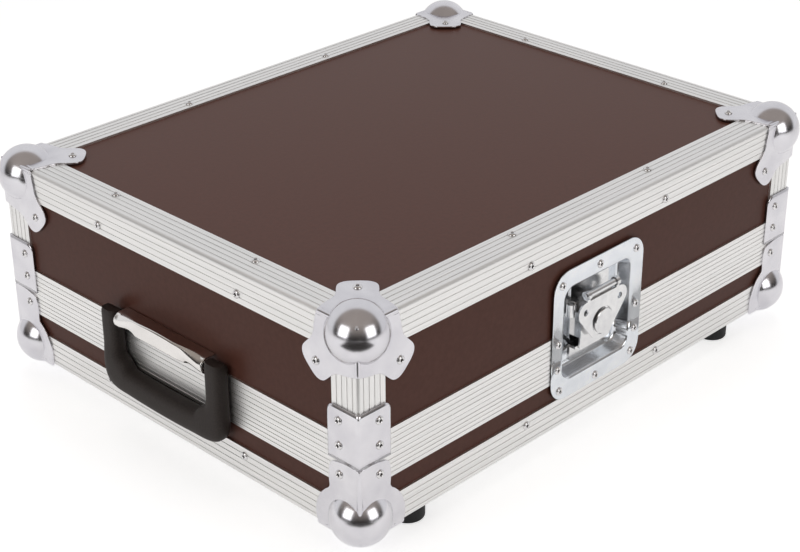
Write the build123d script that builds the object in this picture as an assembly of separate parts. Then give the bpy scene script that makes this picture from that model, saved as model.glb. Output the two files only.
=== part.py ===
from build123d import *
import os

# A flight case for a tabletop mixer, in millimetres. Plywood panels are held in
# aluminium angle edges with pressed steel ball corners. The lid is hinged at the
# back and closed at the front by one recessed butterfly latch. A spring-free drop
# handle hangs on the left side. +X runs along the latch face to its right, +Y from
# the latch face to the hinges, +Z up, with the soles of the feet at Z = 0.

# The outside of the case, over the aluminium edges
WIDTH = 590.0
DEPTH = 464.0
HEIGHT = 200.0
SEAM_HEIGHT = 70.5

# Walls, sheet thicknesses and clearances
PLY = 7.0
ALU = 2.0
SHEET = 1.5
SEAM_GAP = 0.3
SLIDE_GAP = 0.3
RUN_GAP = 0.05

# Aluminium angle along the edges
LEG = 30.0
ARRIS_R = 3.0
RIDGES = 5
GROOVE_WIDTH = 1.2
GROOVE_DEPTH = 0.4

# Parting-line rims: a tongue on the base, a groove in the lid
RIM_LIP = 10.6
BASE_RIM = 21.4
LID_RIM = 24.1
BASE_WEB = 2.0
LID_WEB = 7.0
BASE_INNER_LEG = 14.0
LID_INNER_LEG = 16.0
TONGUE_WIDTH = 2.6
TONGUE_HEIGHT = 4.0
TONGUE_IN = 5.2
TONGUE_PLAY = 0.7

# Ball corners
BALL_R = 26.5
BALL_IN = 15.0
PETAL_SIDE = 43.0
PETAL_BEND = (51.0, 22.0)
PETAL_TIP = (60.0, 36.0)
PETAL_END = 55.0
PETAL_RIVET = 45.5
STRAP_WIDTH = 33.5
STRAP_TOP_GAP = 1.0
STRAP_R = 8.0
STRAP_NECK = 44.0
FLARE_MID = (48.0, 29.0)
FOOT_PETAL = 50.0

# Lid corner braces
BRACE_WIDTH = 34.0
BRACE_HEIGHT = 50.5
BRACE_R = 7.0
BRACE_RIVET_IN = 21.5
BRACE_RIVET_PITCH = 23.0

# Rivets
RIVET_R = 4.0
RIVET_HIGH = 1.8
EDGE_RIVET_HALF = 92.0
EDGE_RIVET_IN = 22.0

# Rubber feet
FOOT_R = 15.0
FOOT_HEIGHT = 20.0
FOOT_ROUND = 2.0
FOOT_ALONG = 78.0
FOOT_IN = 23.0
SCREW_R = 2.0
SCREW_HEAD_R = 4.5
SCREW_HEAD_HIGH = 3.0
SCREW_SINK = 9.0

# Recessed latch dish, in two halves parted at the seam
DISH_WIDTH = 124.0
DISH_HEIGHT = 128.0
DISH_R = 20.0
DISH_MID = 92.6
POCKET_WIDTH = 92.0
POCKET_HEIGHT = 90.0
POCKET_R = 10.0
POCKET_DEPTH = 13.0
DISH_LIP = 3.0
CUT_GAP = 0.5

# Butterfly latch: places are from the turning axis, depths inward from the face
LATCH_X = 3.0
LATCH_Z = 91.0
SHAFT_R = 4.0
KNOB_R = 12.0
KNOB_OUT = 6.5
KNOB_THICK = 1.6
BOSS_R = 8.0
HUB_R = 11.0
BARREL_UP = 31.0
BARREL_DEPTH = -1.7
BARREL_R = 3.0
BARREL_HALF = 18.0
EAR_R = 4.2
EAR_LONG = 4.0
PIN_R = 1.6
PIN_HEAD_R = 2.5
PIN_HEAD = 0.8
ROTOR_PLATE_HALF = 14.0
LOBE_OUT = 23.5
LOBE_UP = 16.0
LOBE_R = 10.0
LOBE_HOLE_R = 3.2
APEX_R = 17.5
APEX_DOWN = 1.0
WINDOW_PLAY = 1.6
HOOK_WIDTH = 42.0
HOOK_DEPTH = 3.2
HOOK_BELOW_SEAM = 5.0
HOOK_UP = 12.0
HOOK_TRAVEL = 8.0
CAM_WINDOW = 24.0
RAIL_HALF = 12.0
RAIL_LIP = 4.0
KEEPER_WIDTH = 50.0
KEEPER_HEIGHT = 17.0
KEEPER_SHELF = 2.5

# Hinges at the back
HINGE_AT = 175.0
HINGE_LONG = 60.0
HINGE_AXIS_OUT = 4.5
KNUCKLE_R = 4.0
KNUCKLES = 5
HINGE_PIN_R = 2.0
HINGE_LEAF = 2.0
LEAF_FROM_SEAM = 5.0
LEAF_HIGH = 15.5
HINGE_RIVET_PITCH = 20.0

# Drop handle on the left side
HANDLE_AXIS_OUT = 8.0
HANDLE_AXIS_Z = 101.0
SLEEVE_R = 7.75
SLEEVE_END = 34.0
ROD_R = 3.0
GRIP_LONG = 160.0
GRIP_ARM = 20.0
GRIP_SIDE_GAP = 1.0
GRIP_NEAR = 0.5
GRIP_FAR = 16.5
GRIP_BAR_FAR = 18.0
GRIP_TOP = 8.5
GRIP_BOTTOM = 70.0
GRIP_BAR = 24.0
GRIP_INNER_R = 16.0
GRIP_OUTER_R = 28.0
BRACKET_HIGH = 19.5

# Foam lining
FOAM_FLOOR = 12.0
FOAM_WALL = 12.0
FOAM_TOP = 20.0

BOTTOM = FOOT_HEIGHT
TOP = BOTTOM + HEIGHT
SEAM = BOTTOM + SEAM_HEIGHT
LID_FOOT = SEAM + SEAM_GAP
FRONT = -DEPTH / 2
BACK = DEPTH / 2
LEFT = -WIDTH / 2
WALL = ALU + PLY
BALL_OUT = BALL_R - BALL_IN
SHIFT = (GRIP_BAR_FAR - BALL_OUT) / 2
SLEEVE_LONG = GRIP_LONG - 2 * (GRIP_ARM + GRIP_SIDE_GAP)

SIDES = {
    "front": (WIDTH, Pos(0, FRONT, 0)),
    "right": (DEPTH, Pos(WIDTH / 2, 0, 0) * Rot(0, 0, 90)),
    "back": (WIDTH, Pos(0, BACK, 0) * Rot(0, 0, 180)),
    "left": (DEPTH, Pos(LEFT, 0, 0) * Rot(0, 0, -90)),
}
CORNERS = [
    (Pos(LEFT, FRONT, 0), WIDTH, DEPTH),
    (Pos(-LEFT, FRONT, 0) * Rot(0, 0, 90), DEPTH, WIDTH),
    (Pos(-LEFT, BACK, 0) * Rot(0, 0, 180), WIDTH, DEPTH),
    (Pos(LEFT, BACK, 0) * Rot(0, 0, 270), DEPTH, WIDTH),
]


def block(x, y, z):
    """A straight block between three pairs of planes."""
    spans = (x, y, z)
    return Pos(*((a + b) / 2 for a, b in spans)) * Box(*(abs(b - a) for a, b in spans))


def save(name, *shapes):
    """Writes one node, moved so that the whole part is centred on the origin."""
    solids = [Pos(SHIFT, 0, 0) * s for shape in shapes for s in shape.solids()]
    whole = solids[0] if len(solids) == 1 else Compound(children=solids)
    export_step(whole, f"parts/{name}.step")


def in_face(outline, depth, thick):
    """A sheet in the latch face: outline in X and Z, from depth inward."""
    plane = Plane(origin=(0, FRONT + depth, 0), x_dir=(1, 0, 0), z_dir=(0, -1, 0))
    return extrude(plane * outline, amount=-thick)


def angle_section():
    """The L section, its arris at the origin, rounded and grooved outside."""
    legs = Polyline(
        (0, ARRIS_R), (0, LEG), (ALU, LEG), (ALU, ALU), (LEG, ALU), (LEG, 0), (ARRIS_R, 0)
    )
    section = make_face(legs + CenterArc((ARRIS_R, ARRIS_R), ARRIS_R, 180, 90))
    for n in range(1, RIDGES):
        at = LEG * n / RIDGES
        section -= Pos(at, 0) * Rectangle(GROOVE_WIDTH, 2 * GROOVE_DEPTH)
        section -= Pos(0, at) * Rectangle(2 * GROOVE_DEPTH, GROOVE_WIDTH)
    return section


def mitre_wedge(reach):
    """What a 45 degree mitre takes off a bar that starts at X = 0."""
    triangle = make_face(Polyline((-1, -1), (reach, reach), (-1, reach), close=True))
    return extrude(triangle, amount=2 * LEG, both=True)


def mitred_bar(section, length, reach, both_legs):
    """A bar centred on X, its two ends mitred to meet its neighbours."""
    bar = Pos(-length / 2, 0, 0) * extrude(Plane.YZ * section, amount=length)
    wedge = mitre_wedge(reach)
    cuts = [wedge]
    if both_legs:
        cuts.append(Rot(90, 0, 0) * wedge)
    for cut in cuts:
        near = Pos(-length / 2, 0, 0) * cut
        bar -= near
        bar -= mirror(near, about=Plane.YZ)
    return bar


def edge(side, upper):
    """One aluminium edge, along the bottom or the top of one side."""
    length, place = SIDES[side]
    bar = mitred_bar(angle_section(), length, LEG + 1, True)
    if upper:
        return place * Pos(0, 0, TOP) * mirror(bar, about=Plane.XY)
    return place * Pos(0, 0, BOTTOM) * bar


def post(low, high):
    """An upright corner angle, mitred at its low end to the edges there."""
    upright = extrude(angle_section(), amount=high - low)
    triangle = make_face(Polyline((-1, -1), (LEG + 1, -1), (LEG + 1, LEG + 1), close=True))
    wedge = extrude(Plane.XZ * triangle, amount=LEG + 1, both=True)
    return Pos(0, 0, low) * (upright - wedge - mirror(wedge, about=Plane(
        origin=(0, 0, 0), z_dir=(1, -1, 0))))


def rim_section(lid):
    """The rim's section: Y inward from the face, Z up from the seam."""
    if lid:
        outline = Polyline(
            (0, 0), (RIM_LIP, 0), (RIM_LIP, LID_INNER_LEG), (WALL, LID_INNER_LEG), (WALL, LID_WEB),
            (ALU, LID_WEB), (ALU, LID_RIM), (0, LID_RIM), close=True,
        )
        section = make_face(outline)
        width = TONGUE_WIDTH + 2 * TONGUE_PLAY
        section -= Pos(TONGUE_IN, 0) * Rectangle(width, 2 * (TONGUE_HEIGHT + TONGUE_PLAY))
    else:
        outline = Polyline(
            (0, 0), (RIM_LIP, 0), (RIM_LIP, -BASE_INNER_LEG), (WALL, -BASE_INNER_LEG),
            (WALL, -BASE_WEB), (ALU, -BASE_WEB), (ALU, -BASE_RIM), (0, -BASE_RIM), close=True,
        )
        half = TONGUE_WIDTH / 2
        tongue = Polyline(
            (TONGUE_IN - half, 0), (TONGUE_IN - half, TONGUE_HEIGHT - 1),
            (TONGUE_IN - half + 0.6, TONGUE_HEIGHT), (TONGUE_IN + half - 0.6, TONGUE_HEIGHT),
            (TONGUE_IN + half, TONGUE_HEIGHT - 1), (TONGUE_IN + half, 0), close=True,
        )
        section = make_face(outline) + make_face(tongue)
    high = LID_RIM if lid else -BASE_RIM
    for n in range(1, RIDGES):
        section -= Pos(0, high * n / RIDGES) * Rectangle(2 * GROOVE_DEPTH, GROOVE_WIDTH)
    return section


def rim(side, lid):
    """One rim bar, cut away in front where the latch dish passes."""
    length, place = SIDES[side]
    bar = mitred_bar(rim_section(lid), length, RIM_LIP + 1, False)
    if side == "front":
        bar -= dish_hole((-1, WALL * 2), -LID_RIM * 2, LID_RIM * 2)
    return place * Pos(0, 0, LID_FOOT if lid else SEAM) * bar


def dish_hole(depth, low, high):
    """The clearance cut for the pocket of the dish, in a side's own frame."""
    half = POCKET_WIDTH / 2 + SHEET + CUT_GAP
    return block((-half, half), depth, (low, high))


def side_panel(side, low, high):
    """A plywood wall. The front and back run full length, the others butt them."""
    length, place = SIDES[side]
    half = length / 2 - (ALU if side in ("front", "back") else WALL)
    panel = block((-half, half), (ALU, WALL), (low, high))
    if side == "front":
        reach = POCKET_HEIGHT / 2 + SHEET + CUT_GAP
        middle = BOTTOM + DISH_MID
        panel -= dish_hole((0, WALL * 2), middle - reach, middle + reach)
    return place * panel


def flat_panel(low):
    """The bottom or the top panel, let in between the four walls."""
    half_x = WIDTH / 2 - WALL
    half_y = DEPTH / 2 - WALL
    return block((-half_x, half_x), (-half_y, half_y), (low, low + PLY))


def petal():
    """One leaf of a lid ball corner, its corner at the origin, in X and Y."""
    bend_x, bend_y = PETAL_BEND
    tip_x, tip_y = PETAL_TIP
    low = ThreePointArc((PETAL_SIDE, -SHEET), (bend_x, bend_y), (tip_x, tip_y))
    end = ThreePointArc((tip_x, tip_y), (PETAL_END, PETAL_END), (tip_y, tip_x))
    high = ThreePointArc((tip_y, tip_x), (bend_y, bend_x), (-SHEET, PETAL_SIDE))
    rest = Polyline((-SHEET, PETAL_SIDE), (-SHEET, -SHEET), (PETAL_SIDE, -SHEET))
    return make_face(low + end + high + rest)


def strap():
    """An upright leaf of a base ball corner: X from the arris, Y up."""
    top = SEAM_HEIGHT - STRAP_TOP_GAP
    neck = (STRAP_WIDTH, STRAP_NECK)
    flare = ThreePointArc((FOOT_PETAL, -SHEET), FLARE_MID, neck)
    side = Line(neck, (STRAP_WIDTH, top - STRAP_R))
    shoulder = CenterArc((STRAP_WIDTH - STRAP_R, top - STRAP_R), STRAP_R, 0, 90)
    rest = Polyline(
        (STRAP_WIDTH - STRAP_R, top), (-SHEET, top), (-SHEET, -SHEET), (FOOT_PETAL, -SHEET)
    )
    return make_face(flare + side + shoulder + rest)


def ball_corner(upright):
    """A pressed ball corner on the inside corner at the origin, opening to +X +Y +Z."""
    floor_leaf = Pos(0, 0, -SHEET) * extrude(petal(), amount=SHEET)
    in_xz = Plane(origin=(0, -SHEET, 0), x_dir=(1, 0, 0), z_dir=(0, -1, 0))
    leaf = extrude(in_xz * upright, amount=-SHEET)
    other = mirror(leaf, about=Plane(origin=(0, 0, 0), z_dir=(1, -1, 0)))
    centre = Pos(BALL_IN, BALL_IN, BALL_IN)
    whole = floor_leaf + leaf + other + centre * Sphere(BALL_R)
    whole -= centre * Sphere(BALL_R - SHEET)
    inside = 2 * BALL_R
    return whole - block((0, inside), (0, inside), (0, inside))


def brace():
    """An L-shaped plate round a lid corner, on the rim and the post."""
    plate = block((-SHEET, BRACE_WIDTH), (-SHEET, 0), (0, BRACE_HEIGHT))
    far = plate.edges().filter_by(Axis.Y).group_by(Axis.X)[-1]
    plate = fillet(far, BRACE_R)
    return plate + mirror(plate, about=Plane(origin=(0, 0, 0), z_dir=(1, -1, 0)))


def rivet(radius=RIVET_R, high=RIVET_HIGH):
    """A domed rivet head that stands on the XY plane."""
    ball = (radius ** 2 + high ** 2) / (2 * high)
    return Pos(0, 0, high - ball) * Sphere(ball) & Cylinder(
        radius + 1, high, align=(Align.CENTER, Align.CENTER, Align.MIN))


def rivets_at(places):
    """Rivet heads at pairs of a point and the direction that they face."""
    head = rivet()
    return [Plane(origin=point, z_dir=facing) * head for point, facing in places]


def edge_rivets(lid):
    """Heads beside the middle of every edge, on its upright and its flat leg."""
    out = []
    for side, (length, place) in SIDES.items():
        level = TOP - EDGE_RIVET_IN if lid else BOTTOM + EDGE_RIVET_IN
        flat = TOP if lid else BOTTOM
        for x in (-EDGE_RIVET_HALF, EDGE_RIVET_HALF):
            on_wall = Plane(origin=(x, 0, level), z_dir=(0, -1, 0)) * rivet()
            on_flat = Plane(origin=(x, EDGE_RIVET_IN, flat), z_dir=(0, 0, 1 if lid else -1))
            out += [place * on_wall, place * (on_flat * rivet())]
    return out


def corner_rivets(lid):
    """Heads that hold the ball corners and, on the lid, the braces."""
    spots = []
    if lid:
        spots.append((PETAL_RIVET, TOP - PETAL_RIVET))
        middle = LID_FOOT + BRACE_HEIGHT / 2 + 2
        for rise in (middle - BRACE_RIVET_PITCH / 2, middle + BRACE_RIVET_PITCH / 2):
            spots.append((BRACE_RIVET_IN, rise))
    else:
        spots.append((BRACE_RIVET_IN, SEAM - BRACE_RIVET_PITCH / 2))
    out = []
    for place, _, _ in CORNERS:
        for along, rise in spots:
            out.append(place * (Plane(origin=(along, -SHEET, rise), z_dir=(0, -1, 0)) * rivet()))
            out.append(place * (Plane(origin=(-SHEET, along, rise), z_dir=(-1, 0, 0)) * rivet()))
        flat = TOP + SHEET if lid else BOTTOM - SHEET
        facing = (0, 0, 1 if lid else -1)
        out.append(place * (Plane(origin=(PETAL_RIVET, PETAL_RIVET, flat), z_dir=facing) * rivet()))
    return out


def foot_places():
    """The four feet, set in from the ends of the long sides."""
    x = WIDTH / 2 - FOOT_ALONG
    y = DEPTH / 2 - FOOT_IN
    return [(sx * x, sy * y, sy) for sx in (-1, 1) for sy in (-1, 1)]


def foot(x, y, way):
    """A rubber foot, stepped on top to bear on the edge and on the panel."""
    up = (Align.CENTER, Align.CENTER, Align.MIN)
    body = Cylinder(FOOT_R, FOOT_HEIGHT, align=up)
    body = fillet(body.edges().group_by(Axis.Z)[0], FOOT_ROUND)
    step = Pos(0, 0, FOOT_HEIGHT) * Cylinder(FOOT_R, ALU, align=up)
    inside = FOOT_IN - LEG - SLIDE_GAP
    step &= block((-FOOT_R, FOOT_R), (inside * way, -way * FOOT_R), (0, 2 * FOOT_HEIGHT))
    body += step
    body -= Cylinder(SCREW_HEAD_R + 1, SCREW_SINK, align=up)
    body -= Cylinder(SCREW_R + 0.1, FOOT_HEIGHT, align=up)
    return Pos(x, y, 0) * body


def foot_screw(x, y):
    """A pan-head screw through the foot and the edge, into the plywood."""
    up = (Align.CENTER, Align.CENTER, Align.MIN)
    head = Pos(0, 0, SCREW_SINK - SCREW_HEAD_HIGH) * Cylinder(SCREW_HEAD_R, SCREW_HEAD_HIGH, align=up)
    head = chamfer(head.edges().group_by(Axis.Z)[0], 1.0)
    shank = Pos(0, 0, SCREW_SINK) * Cylinder(SCREW_R, BOTTOM + WALL - SCREW_SINK - 1, align=up)
    return Pos(x, y, 0) * (head + shank)


def screw_holes(shape):
    """Takes the four screw holes out of an edge or the bottom panel."""
    for x, y, _ in foot_places():
        shape -= Pos(x, y, BOTTOM) * Cylinder(SCREW_R + 0.1, 2 * WALL)
    return shape


def dish_half(upper):
    """One half of the pressed latch dish: flange, turned lip, walls and floor."""
    middle = Pos(0, BOTTOM + DISH_MID)
    frame = middle * RectangleRounded(DISH_WIDTH, DISH_HEIGHT, DISH_R)
    inner = middle * RectangleRounded(DISH_WIDTH - 2 * DISH_LIP, DISH_HEIGHT - 2 * DISH_LIP,
                                      DISH_R - DISH_LIP)
    pocket = middle * RectangleRounded(POCKET_WIDTH, POCKET_HEIGHT, POCKET_R)
    bowl = middle * RectangleRounded(POCKET_WIDTH + 2 * SHEET, POCKET_HEIGHT + 2 * SHEET,
                                     POCKET_R + SHEET)
    lip = in_face(frame - inner, 0, ALU)
    over_rims = (SEAM - BASE_RIM - SLIDE_GAP, LID_FOOT + LID_RIM + SLIDE_GAP)
    over_edge = (BOTTOM, BOTTOM + LEG + SLIDE_GAP)
    for span in (over_rims, over_edge):
        lip -= block((-DISH_WIDTH, DISH_WIDTH), (FRONT - 1, FRONT + WALL), span)
    dish = in_face(frame, -SHEET, SHEET) + lip + in_face(bowl, -SHEET, POCKET_DEPTH + 2 * SHEET)
    dish -= in_face(pocket, -2 * SHEET, POCKET_DEPTH + 2 * SHEET)
    low, high = (LID_FOOT, TOP) if upper else (BOTTOM, SEAM)
    return dish & block((-DISH_WIDTH, DISH_WIDTH), (FRONT - DISH_WIDTH, 0), (low, high))


def dish_rivet_places(upper):
    """Heads round the dish's flange, as pairs of X and Z."""
    if upper:
        spots = [(-51, 144.0), (0, 147.0), (51, 144.0), (-54, 87.3), (54, 87.3)]
    else:
        spots = [(-54, 62.0), (54, 62.0), (-50.5, 39.3), (0, 35.0), (50.5, 39.3)]
    return [((x, FRONT - SHEET, BOTTOM + z), (0, -1, 0)) for x, z in spots]


def on_axis(depth, radius, length, up=0.0, out=0.0):
    """A cylinder along the latch's turning axis, from depth inward."""
    return in_face(Pos(LATCH_X + out, BOTTOM + LATCH_Z + up) * Circle(radius), depth, length)


def along_barrel(radius, low, high):
    """A cylinder along the wing's hinge, between two distances from its middle."""
    z = BOTTOM + LATCH_Z + BARREL_UP
    rod = Plane(origin=(LATCH_X + low, FRONT + BARREL_DEPTH, z), z_dir=(1, 0, 0)) * Circle(radius)
    return extrude(rod, amount=high - low)


def hook():
    """The flat hook that hangs below the seam, with a window for the cam."""
    low = SEAM - HOOK_BELOW_SEAM
    high = BOTTOM + LATCH_Z + HOOK_UP
    half = HOOK_WIDTH / 2
    plate = block((LATCH_X - half, LATCH_X + half), (FRONT + HOOK_DEPTH, FRONT + HOOK_DEPTH + SHEET),
                  (low, high))
    plate = fillet(plate.edges().filter_by(Axis.Y).group_by(Axis.Z)[0], 3)
    window = Pos(LATCH_X, BOTTOM + LATCH_Z + HOOK_TRAVEL / 2)
    slot = SlotOverall(CAM_WINDOW, 2 * SHAFT_R + 2, rotation=90)
    return plate - in_face(window * slot, HOOK_DEPTH - 1, SHEET + 2)


def latch_plate():
    """The riveted base plate: bearing boss, two rails over the hook, a rolled loop."""
    low = SEAM + SEAM_GAP + 3
    high = BOTTOM + LATCH_Z + BARREL_UP + 8
    half = HOOK_WIDTH / 2 + SLIDE_GAP + 5
    outline = Pos(LATCH_X, (low + high) / 2) * RectangleRounded(2 * half, high - low, 4)
    floor = POCKET_DEPTH - SHEET
    plate = in_face(outline, floor, SHEET)
    plate += on_axis(HOOK_DEPTH + SHEET + SLIDE_GAP, BOSS_R, floor - HOOK_DEPTH - SHEET - SLIDE_GAP)
    axis_z = BOTTOM + LATCH_Z
    for way in (-1, 1):
        wall_in = HOOK_WIDTH / 2 + SLIDE_GAP
        front = HOOK_DEPTH - SLIDE_GAP - SHEET
        x = (LATCH_X + way * wall_in, LATCH_X + way * (wall_in + SHEET))
        lip = (LATCH_X + way * (wall_in - RAIL_LIP), LATCH_X + way * (wall_in + SHEET))
        z = (axis_z - RAIL_HALF, axis_z + RAIL_HALF)
        plate += block(x, (FRONT + front, FRONT + floor), z)
        plate += block(lip, (FRONT + front, FRONT + front + SHEET), z)
    loop_z = BOTTOM + LATCH_Z + 17
    loop = Plane(origin=(LATCH_X - half - 3, FRONT + floor - 3, loop_z - 6), z_dir=(0, 0, 1))
    ring = loop * (Circle(4.5) - Circle(3))
    plate += extrude(ring, amount=12)
    return plate - on_axis(HOOK_DEPTH, SHAFT_R + RUN_GAP, POCKET_DEPTH)


def latch_rotor():
    """Knob, shaft and the arm that carries the wing's hinge, in one turning piece."""
    under_knob = KNOB_THICK - KNOB_OUT
    rotor = on_axis(-KNOB_OUT, KNOB_R, KNOB_THICK)
    rotor = chamfer(rotor.edges().group_by(Axis.Y)[0], 0.5)
    rotor += on_axis(under_knob, SHAFT_R, POCKET_DEPTH - SLIDE_GAP - under_knob)
    arm_top = BARREL_DEPTH - SHEET / 2
    x = LATCH_X
    z = BOTTOM + LATCH_Z
    arm = make_hull([
        *(Pos(x, z) * Circle(HUB_R)).edges(),
        *(Pos(x, z + BARREL_UP - BARREL_R) * Rectangle(2 * ROTOR_PLATE_HALF, 2)).edges(),
    ])
    rotor += in_face(arm, arm_top, SHEET)
    rotor += along_barrel(BARREL_R, SLIDE_GAP - BARREL_HALF, BARREL_HALF - SLIDE_GAP)
    return rotor - along_barrel(PIN_R + RUN_GAP, -BARREL_HALF, BARREL_HALF)


def latch_wing():
    """The butterfly plate: two pierced lobes, a window round the knob, two ears."""
    x = LATCH_X
    z = BOTTOM + LATCH_Z
    front = BARREL_DEPTH - SHEET / 2 - SLIDE_GAP - SHEET
    outline = make_hull([
        *(Pos(x - LOBE_OUT, z + LOBE_UP) * Circle(LOBE_R)).edges(),
        *(Pos(x + LOBE_OUT, z + LOBE_UP) * Circle(LOBE_R)).edges(),
        *(Pos(x, z - APEX_DOWN) * Circle(APEX_R)).edges(),
    ])
    outline -= Pos(x, z) * Circle(KNOB_R + WINDOW_PLAY)
    for way in (-1, 1):
        outline -= Pos(x + way * LOBE_OUT, z + LOBE_UP) * Circle(LOBE_HOLE_R)
    wing = in_face(outline, front, SHEET)
    for low in (-BARREL_HALF - EAR_LONG, BARREL_HALF):
        tab = block((x + low, x + low + EAR_LONG), (FRONT + front, FRONT + front + SHEET),
                    (z + LOBE_UP, z + BARREL_UP))
        wing += tab + along_barrel(EAR_R, low, low + EAR_LONG)
    return wing - along_barrel(PIN_R + RUN_GAP, -2 * BARREL_HALF, 2 * BARREL_HALF)


def latch_pin():
    """The pin of the wing's hinge, headed at both ends."""
    end = BARREL_HALF + EAR_LONG + SLIDE_GAP
    pin = along_barrel(PIN_R, -end, end)
    return pin + along_barrel(PIN_HEAD_R, -end - PIN_HEAD, -end) + along_barrel(
        PIN_HEAD_R, end, end + PIN_HEAD)


def keeper():
    """The keeper in the lower dish: a riveted plate with a shelf that the hook passes."""
    top = SEAM - 0.7
    half = KEEPER_WIDTH / 2
    floor = POCKET_DEPTH - SHEET
    outline = Pos(LATCH_X, top - KEEPER_HEIGHT / 2) * RectangleRounded(KEEPER_WIDTH, KEEPER_HEIGHT, 2)
    plate = in_face(outline, floor, SHEET)
    front = HOOK_DEPTH + SHEET + SLIDE_GAP
    shelf = block((LATCH_X - half, LATCH_X + half), (FRONT + front, FRONT + floor + SHEET),
                  (top - KEEPER_SHELF, top))
    return plate + shelf


def hinge_leaf(lid):
    """One hinge leaf with its share of the knuckles, centred on X = 0."""
    way = 1 if lid else -1
    axis_y = BACK + HINGE_AXIS_OUT
    pitch = HINGE_LONG / KNUCKLES
    half = HINGE_LONG / 2
    low, high = sorted((SEAM + way * LEAF_FROM_SEAM, SEAM + way * (LEAF_FROM_SEAM + LEAF_HIGH)))
    leaf = block((-half, half), (BACK, BACK + HINGE_LEAF), (low, high))
    for n in range(KNUCKLES):
        if (n % 2 == 1) != lid:
            continue
        x = (-half + n * pitch + SLIDE_GAP / 2, -half + (n + 1) * pitch - SLIDE_GAP / 2)
        circle = Plane(origin=(x[0], axis_y, SEAM), z_dir=(1, 0, 0)) * Circle(KNUCKLE_R)
        leaf += extrude(circle, amount=x[1] - x[0])
        reach = sorted((SEAM, SEAM + way * (LEAF_FROM_SEAM + 1)))
        leaf += block(x, (BACK, BACK + HINGE_LEAF), reach)
    bore = Plane(origin=(-half, axis_y, SEAM), z_dir=(1, 0, 0)) * Circle(HINGE_PIN_R + RUN_GAP)
    return leaf - extrude(bore, amount=HINGE_LONG)


def hinge_pin():
    """A headed steel pin through all the knuckles."""
    half = HINGE_LONG / 2
    axis = Plane(origin=(-half, BACK + HINGE_AXIS_OUT, SEAM), z_dir=(1, 0, 0))
    pin = extrude(axis * Circle(HINGE_PIN_R), amount=HINGE_LONG)
    head = extrude(axis * Circle(KNUCKLE_R - 0.5), amount=-1.2)
    return pin + head + mirror(head, about=Plane.YZ)


def hinge_rivets(lid):
    """Three heads on each hinge leaf."""
    way = 1 if lid else -1
    z = SEAM + way * (LEAF_FROM_SEAM + LEAF_HIGH / 2)
    out = []
    for x in (-HINGE_AT, HINGE_AT):
        for n in (-1, 0, 1):
            out.append(((x + n * HINGE_RIVET_PITCH, BACK + HINGE_LEAF, z), (0, 1, 0)))
    return rivets_at(out)


def handle_bracket():
    """The plated bracket: a wall plate, a web and the sleeve that holds the rod."""
    axis_x = LEFT - HANDLE_AXIS_OUT
    axis_z = BOTTOM + HANDLE_AXIS_Z
    half = SLEEVE_LONG / 2
    start = Plane(origin=(axis_x, -half, axis_z), z_dir=(0, 1, 0))
    sleeve = extrude(start * Circle(SLEEVE_R), amount=SLEEVE_LONG)
    low = LID_FOOT + LID_RIM + SLIDE_GAP
    plate = block((LEFT, LEFT + ALU), (-half, half), (low, low + BRACKET_HIGH))
    web = block((axis_x, LEFT + ALU), (-half, half),
                (axis_z + SLEEVE_R - SHEET, axis_z + SLEEVE_R))
    middle = half - SLEEVE_END
    belly = block((axis_x - 2 * SLEEVE_R, LEFT - SLIDE_GAP), (-middle, middle),
                  (axis_z - 2 * SLEEVE_R, axis_z))
    body = sleeve + plate + web - belly
    bore = extrude(start * Circle(ROD_R + RUN_GAP), amount=SLEEVE_LONG)
    return body - bore


def handle_rod():
    """The steel rod in the sleeve, with its ends moulded into the grip."""
    reach = GRIP_LONG / 2 - GRIP_ARM / 2
    start = Plane(origin=(LEFT - HANDLE_AXIS_OUT, -reach, BOTTOM + HANDLE_AXIS_Z), z_dir=(0, 1, 0))
    return extrude(start * Circle(ROD_R), amount=2 * reach)


def handle_grip():
    """The rubber grip: a U with rounded corners and a thicker bar for the hand."""
    axis_z = BOTTOM + HANDLE_AXIS_Z
    half = GRIP_LONG / 2
    top = axis_z + GRIP_TOP
    low = axis_z - GRIP_BOTTOM
    outer = make_face(Polyline((-half, top), (half, top), (half, low), (-half, low), close=True))
    outer = fillet(outer.vertices().group_by(Axis.Y)[0], GRIP_OUTER_R)
    in_half = half - GRIP_ARM
    hole = make_face(Polyline(
        (-in_half, top + 1), (in_half, top + 1), (in_half, low + GRIP_BAR),
        (-in_half, low + GRIP_BAR), close=True))
    hole = fillet(hole.vertices().group_by(Axis.Y)[0], GRIP_INNER_R)
    face = Plane(origin=(LEFT - GRIP_NEAR, 0, 0), x_dir=(0, -1, 0), z_dir=(-1, 0, 0))
    arms = extrude(face * (outer - hole), amount=GRIP_FAR - GRIP_NEAR)
    bar = block((LEFT - GRIP_BAR_FAR, LEFT - GRIP_NEAR), (-in_half, in_half),
                (low, low + GRIP_BAR))
    rear_top = block((LEFT - HANDLE_AXIS_OUT, LEFT), (-half - 1, half + 1), (axis_z, top + 1))
    round_top = extrude(Plane(origin=(LEFT - HANDLE_AXIS_OUT, -half, axis_z), z_dir=(0, 1, 0))
                        * Circle(HANDLE_AXIS_OUT - GRIP_NEAR), amount=GRIP_LONG)
    keep = arms & round_top
    arms = (arms - rear_top) + keep
    bar = fillet(bar.edges().filter_by(Axis.Y), 4)
    return arms + bar - handle_rod()


def foam_ring(low, high):
    """Four foam strips round the inside of the walls, notched for the latch dish."""
    out = []
    for side, (length, place) in SIDES.items():
        inset = WALL if side in ("front", "back") else WALL + FOAM_WALL
        half = length / 2 - inset
        strip = block((-half, half), (WALL, WALL + FOAM_WALL), (low, high))
        if side == "front":
            notch = POCKET_WIDTH / 2 + SHEET + 3
            reach = POCKET_HEIGHT / 2 + SHEET + 3
            middle = BOTTOM + DISH_MID
            strip -= block((-notch, notch), (WALL, WALL + FOAM_WALL),
                           (middle - reach, middle + reach))
        out.append(place * strip)
    return out


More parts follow.
